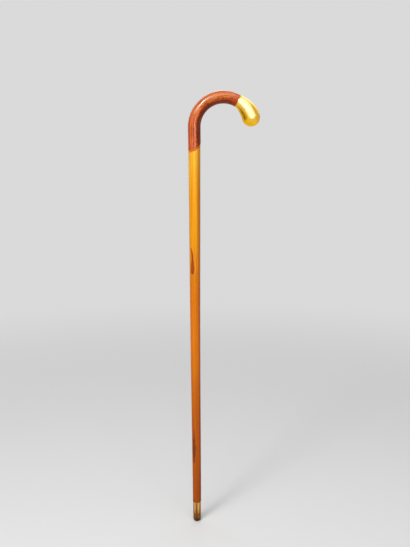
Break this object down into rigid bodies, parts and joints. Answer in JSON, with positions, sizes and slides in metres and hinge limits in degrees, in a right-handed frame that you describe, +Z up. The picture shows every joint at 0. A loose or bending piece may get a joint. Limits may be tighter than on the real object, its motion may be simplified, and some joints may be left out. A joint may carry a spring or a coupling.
{
  "type": "walking cane",
  "caption": "Crook-handled walking cane with a long tapered wooden shaft, a hollow gilt nose cap that swells to a bulb, and a brass ferrule with a worn steel tip.",
  "frame": {"origin": "centre of the flat under the steel tip, on the shaft's middle line", "axes": "+Z up the shaft, +X from the shaft towards the nose of the crook, so the crook lies in the XZ plane"},
  "size_m": [0.1388, 0.0348, 0.888],
  "materials": {
    "crook_wood": "red-brown stain under gloss varnish",
    "shaft_wood": "honey to brown under satin varnish",
    "dowel_wood": "bare",
    "gilt_metal": "polished gilt, lightly worn",
    "filler_resin": "dull",
    "pin_brass": "tarnished",
    "ferrule_brass": "dulled by wear",
    "tip_steel": "worn and browned"
  },
  "bodies": {
    "root": {"crook": "crook_wood", "shaft": "shaft_wood", "joint_dowel": "dowel_wood", "nose_cap": "gilt_metal", "cap_filler": "filler_resin", "cap_pin": "pin_brass", "ferrule": "ferrule_brass", "ferrule_tip": "tip_steel", "ferrule_pin": "pin_brass"}
  },
  "joints": []
}
